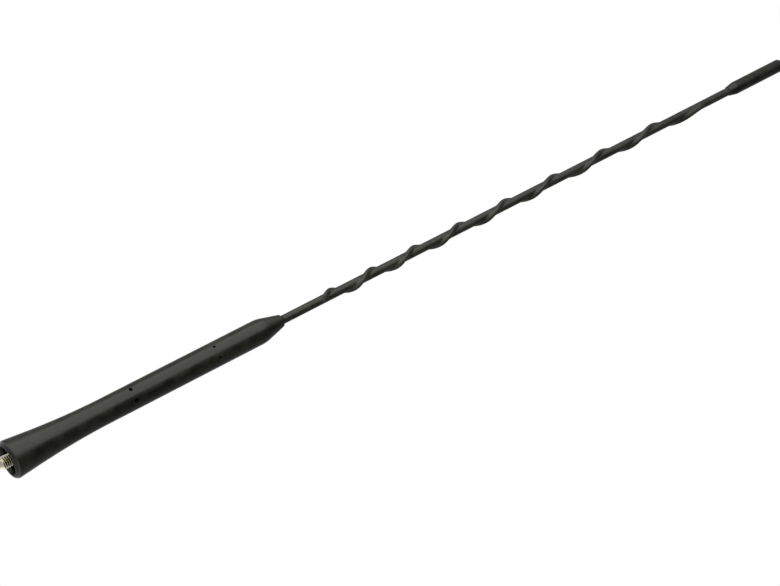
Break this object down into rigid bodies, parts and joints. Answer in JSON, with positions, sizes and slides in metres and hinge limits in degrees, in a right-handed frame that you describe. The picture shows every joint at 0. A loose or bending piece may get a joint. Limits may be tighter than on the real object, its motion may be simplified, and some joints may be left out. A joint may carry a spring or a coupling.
{
  "type": "car mast aerial",
  "caption": "Screw-in car mast aerial: flared moulded grip with a recessed M5 stud, thin sleeved whip with a left-hand spiral ridge, and a tip cap.",
  "frame": {"origin": "on the mast's axis in the plane of the rim that meets the aerial base", "axes": "+Z along the mast from the rim to the tip; -Y is the front, the middle of the mould half that the picture shows"},
  "size_m": [0.0152, 0.0152, 0.4036],
  "materials": {
    "grip_plastic": "satin moulded black plastic",
    "sleeve_plastic": "satin moulded black plastic",
    "cap_plastic": "satin moulded black plastic",
    "nickel_steel": "bright nickel plate",
    "plated_brass": "nickel-plated brass",
    "solder": "cast solder",
    "glass_fibre": "pultruded glass fibre",
    "copper_wire": "varnished copper"
  },
  "bodies": {
    "root": {"grip": "grip_plastic", "mounting_stud": "nickel_steel", "ferrule": "plated_brass", "solder_joint": "solder", "core_rod": "glass_fibre", "winding": "copper_wire", "whip_sleeve": "sleeve_plastic", "tip_cap": "cap_plastic"}
  },
  "joints": []
}
